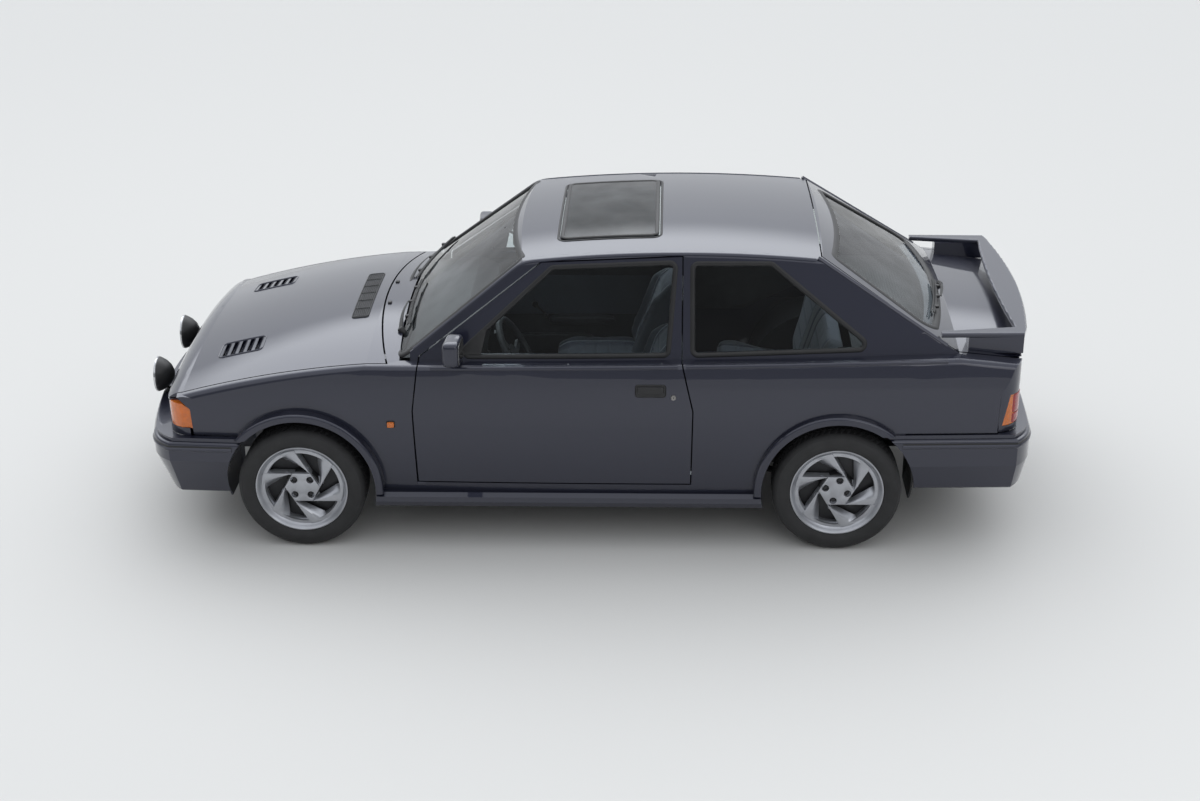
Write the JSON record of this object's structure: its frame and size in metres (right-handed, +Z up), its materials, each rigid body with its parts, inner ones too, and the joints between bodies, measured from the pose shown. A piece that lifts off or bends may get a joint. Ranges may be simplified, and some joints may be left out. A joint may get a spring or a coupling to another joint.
{
  "type": "three-door sports hatchback",
  "caption": "Three-door sports hatchback with bonnet louvres, driving lamps, tilting glass sunroof and hoop tail spoiler; doors, bonnet, tailgate, steering and wheels move.",
  "frame": {"origin": "on the ground at mid length and mid width", "axes": "+X to the nose, +Y to the car's left, +Z up"},
  "size_m": [4.045, 1.792, 1.3714],
  "materials": {
    "paint": "dark blue-grey metallic, gloss",
    "clear_glass": "clear, lightly tinted",
    "tinted_glass": "dark tint",
    "amber_lens": "moulded lens",
    "red_lens": "moulded lens",
    "black_plastic": "grained",
    "cloth": "woven cloth",
    "underbody": "satin coating",
    "iron": "as cast",
    "exhaust_steel": "dull",
    "alloy": "silver lacquer",
    "tyre": "black rubber"
  },
  "bodies": {
    "body": {"dashboard": "black_plastic", "driving_lamps": "black_plastic", "engine": "iron", "engine_bay_frame": "underbody", "exhaust": "exhaust_steel", "floor_pan": "underbody", "front_bumper": "paint", "front_panel": "paint", "front_suspension": "underbody", "fuel_tank": "black_plastic", "grille": "black_plastic", "headlamps": "clear_glass", "indicators": "amber_lens", "parcel_shelf": "cloth", "quarter_glass_left": "clear_glass", "quarter_glass_right": "clear_glass", "rear_bumper": "paint", "rear_lamps": "red_lens", "rear_seat": "cloth", "rear_suspension": "underbody", "roof": "paint", "scuttle": "paint", "seat_left": "cloth", "seat_right": "cloth", "side_frame_left": "paint", "side_frame_right": "paint", "skirts": "paint", "windscreen": "clear_glass", "wing_left": "paint", "wing_right": "paint", "wipers": "black_plastic"},
    "door_left": {"door_left": "paint", "door_glass_left": "clear_glass", "mirror_left": "paint"},
    "door_right": {"door_right": "paint", "door_glass_right": "clear_glass", "mirror_right": "paint"},
    "bonnet": {"bonnet": "paint"},
    "tailgate": {"tailgate": "paint", "tailgate_glass": "clear_glass", "spoiler": "paint"},
    "sunroof": {"sunroof": "tinted_glass"},
    "steering_wheel": {"steering_wheel": "black_plastic"},
    "knuckle_left": {"knuckle_left": "iron"},
    "knuckle_right": {"knuckle_right": "iron"},
    "wheel_front_left": {"wheel_front_left": "alloy", "tyre_front_left": "tyre"},
    "wheel_front_right": {"wheel_front_right": "alloy", "tyre_front_right": "tyre"},
    "wheel_rear_left": {"wheel_rear_left": "alloy", "tyre_rear_left": "tyre"},
    "wheel_rear_right": {"wheel_rear_right": "alloy", "tyre_rear_right": "tyre"}
  },
  "joints": [
    {"name": "door_left_hinge", "type": "hinge", "parent": "body", "child": "door_left", "pos_m": [0.7225, 0.789, 0.6], "axis": [0, 0, -1], "range_deg": [0, 65]},
    {"name": "door_right_hinge", "type": "hinge", "parent": "body", "child": "door_right", "pos_m": [0.7225, -0.789, 0.6], "axis": [0, 0, 1], "range_deg": [0, 65]},
    {"name": "bonnet_hinge", "type": "hinge", "parent": "body", "child": "bonnet", "pos_m": [0.8045, 0, 0.912], "axis": [0, -1, 0], "range_deg": [0, 55]},
    {"name": "tailgate_hinge", "type": "hinge", "parent": "body", "child": "tailgate", "pos_m": [-1.04, 0, 1.345], "axis": [0, 1, 0], "range_deg": [0, 78]},
    {"name": "sunroof_hinge", "type": "hinge", "parent": "body", "child": "sunroof", "pos_m": [0.098, 0, 1.353], "axis": [0, 1, 0], "range_deg": [0, 8]},
    {"name": "steer_left", "type": "hinge", "parent": "body", "child": "knuckle_left", "pos_m": [1.2625, 0.664, 0.178], "axis": [0, -0.2542, 0.9672], "range_deg": [-33, 33]},
    {"name": "steer_right", "type": "hinge", "parent": "body", "child": "knuckle_right", "pos_m": [1.2625, -0.664, 0.178], "axis": [0, 0.2542, 0.9672], "range_deg": [-33, 33]},
    {"name": "steering_wheel_turn", "type": "hinge", "parent": "body", "child": "steering_wheel", "pos_m": [0.3025, 0.365, 0.765], "axis": [-0.8829, 0, 0.4695], "range_deg": [-500, 500]},
    {"name": "spin_front_left", "type": "hinge", "parent": "knuckle_left", "child": "wheel_front_left", "pos_m": [1.2625, 0.715, 0.288], "axis": [0, 1, 0], "continuous": true},
    {"name": "spin_front_right", "type": "hinge", "parent": "knuckle_right", "child": "wheel_front_right", "pos_m": [1.2625, -0.715, 0.288], "axis": [0, 1, 0], "continuous": true},
    {"name": "spin_rear_left", "type": "hinge", "parent": "body", "child": "wheel_rear_left", "pos_m": [-1.1375, 0.715, 0.288], "axis": [0, 1, 0], "continuous": true},
    {"name": "spin_rear_right", "type": "hinge", "parent": "body", "child": "wheel_rear_right", "pos_m": [-1.1375, -0.715, 0.288], "axis": [0, 1, 0], "continuous": true}
  ],
  "couplings": [
    {"joint": "steer_right", "follows": "steer_left", "ratio": 1},
    {"joint": "steering_wheel_turn", "follows": "steer_left", "ratio": 15}
  ]
}
